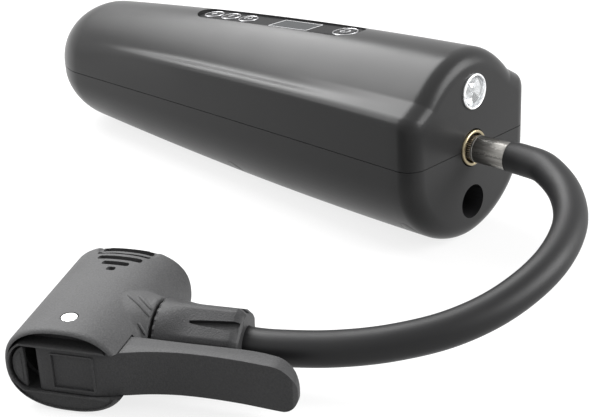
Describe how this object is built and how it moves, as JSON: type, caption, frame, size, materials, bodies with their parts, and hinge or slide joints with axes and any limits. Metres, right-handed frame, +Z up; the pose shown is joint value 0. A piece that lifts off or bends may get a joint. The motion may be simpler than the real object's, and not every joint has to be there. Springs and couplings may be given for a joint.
{
  "type": "portable tire inflator",
  "caption": "Slim tapered battery tire inflator with a light, a control strip and a short air hose that ends in a lever chuck; motor, crank, piston and battery inside.",
  "frame": {"origin": "on the flat resting strip of the lower shell, under the middle of the body, on the surface that it lies on", "axes": "+Y from the light end to the rounded tip, +Z up, +X to the right seen from the light end"},
  "size_m": [0.1746, 0.2551, 0.0611],
  "materials": {
    "shell": "satin moulded, fine grain",
    "panel": "polished",
    "window": "polished, smoked",
    "display": "glossy",
    "button": "polished",
    "board": "lacquered circuit board",
    "sensor": "matte",
    "bright_ring": "polished",
    "lens": "clear",
    "reflector": "mirror bright",
    "brass": "turned",
    "seal": "matte",
    "sleeve": "bright nickel, turned",
    "hose": "satin",
    "socket": "matte",
    "steel": "plain zinc or machined",
    "cast": "cast and machined",
    "gear": "natural acetal",
    "tube": "silicone",
    "cell": "steel can in shrink sleeve, at a cell's mean density",
    "chuck": "fine matte grain",
    "nut": "matte",
    "lever": "matte",
    "cap": "matte",
    "plunger": "machined"
  },
  "bodies": {
    "base": {"upper_shell": "shell", "lower_shell": "shell", "control_panel": "panel", "display_window": "window", "display_module": "display", "main_board": "board", "button_switches": "steel", "pressure_sensor": "sensor", "light_bezel": "bright_ring", "light_lens": "lens", "light_reflector": "reflector", "light_board": "board", "outlet_bushing": "brass", "outlet_seal": "seal", "hose_ferrule": "sleeve", "air_hose": "hose", "charging_socket": "socket", "socket_pin": "steel", "pump_frame": "cast", "motor_can": "steel", "motor_end_cap": "socket", "crank_bush": "brass", "cylinder_sleeve": "steel", "cylinder_head": "cast", "outlet_reed": "steel", "air_tube": "tube", "frame_screws": "steel", "battery_cells": "cell", "cell_straps": "steel", "battery_holder": "socket", "protection_board": "board", "case_screws": "steel", "chuck_body": "chuck", "chuck_nut": "nut", "hose_barb": "brass", "lever_pin": "steel", "valve_seal": "seal", "chuck_cap": "cap", "side_plug": "chuck"},
    "crank": {"crank_gear": "gear", "crank_shaft": "steel", "crank_pin": "steel"},
    "motor_rotor": {"motor_shaft": "steel", "pinion": "brass"},
    "rod": {"connecting_rod": "cast", "wrist_pin": "steel"},
    "piston_group": {"piston": "cast", "piston_ring": "seal"},
    "lever": {"chuck_lever": "lever"},
    "plunger": {"chuck_plunger": "plunger", "plunger_rings": "seal"},
    "power_key": {"power_button": "button"},
    "key_1": {"small_button_1": "button"},
    "key_2": {"small_button_2": "button"},
    "key_3": {"small_button_3": "button"}
  },
  "joints": [
    {"name": "crank_turn", "type": "hinge", "parent": "base", "child": "crank", "pos_m": [0.0115, -0.04352, 0.03336], "axis": [0, 0.9992, -0.0394], "range_deg": [0, 180]},
    {"name": "rotor_turn", "type": "hinge", "parent": "base", "child": "motor_rotor", "pos_m": [0.0055, -0.04413, 0.01788], "axis": [0, 0.9992, -0.0394], "range_deg": [-481, 1]},
    {"name": "rod_turn", "type": "hinge", "parent": "crank", "child": "rod", "pos_m": [0.0155, -0.05671, 0.03388], "axis": [0, 0.9992, -0.0394], "range_deg": [-181, 1]},
    {"name": "piston_slide", "type": "slide", "parent": "base", "child": "piston_group", "axis": [-1, 0, 0], "range_m": [-0.0001, 0.0081]},
    {"name": "lever_swing", "type": "hinge", "parent": "base", "child": "lever", "pos_m": [-0.13264, -0.0663, 0.0115], "axis": [0, 0, -1], "range_deg": [0, 90]},
    {"name": "plunger_slide", "type": "slide", "parent": "base", "child": "plunger", "axis": [0.866, 0.5, 0], "range_m": [0, 0.00225]},
    {"name": "power_press", "type": "slide", "parent": "base", "child": "power_key", "axis": [0, -0.0785, -0.9969], "range_m": [0, 0.0005], "stiffness_N_per_m": 300},
    {"name": "press_1", "type": "slide", "parent": "base", "child": "key_1", "axis": [0, -0.0785, -0.9969], "range_m": [0, 0.0005], "stiffness_N_per_m": 300},
    {"name": "press_2", "type": "slide", "parent": "base", "child": "key_2", "axis": [0, -0.0785, -0.9969], "range_m": [0, 0.0005], "stiffness_N_per_m": 300},
    {"name": "press_3", "type": "slide", "parent": "base", "child": "key_3", "axis": [0, -0.0785, -0.9969], "range_m": [0, 0.0005], "stiffness_N_per_m": 300}
  ],
  "couplings": [
    {"joint": "rotor_turn", "follows": "crank_turn", "ratio": -2.6667},
    {"joint": "rod_turn", "follows": "crank_turn", "ratio": -1},
    {"joint": "piston_slide", "follows": "crank_turn", "m_per_rad": 0.0025465},
    {"joint": "plunger_slide", "follows": "lever_swing", "m_per_rad": 0.0014006}
  ]
}
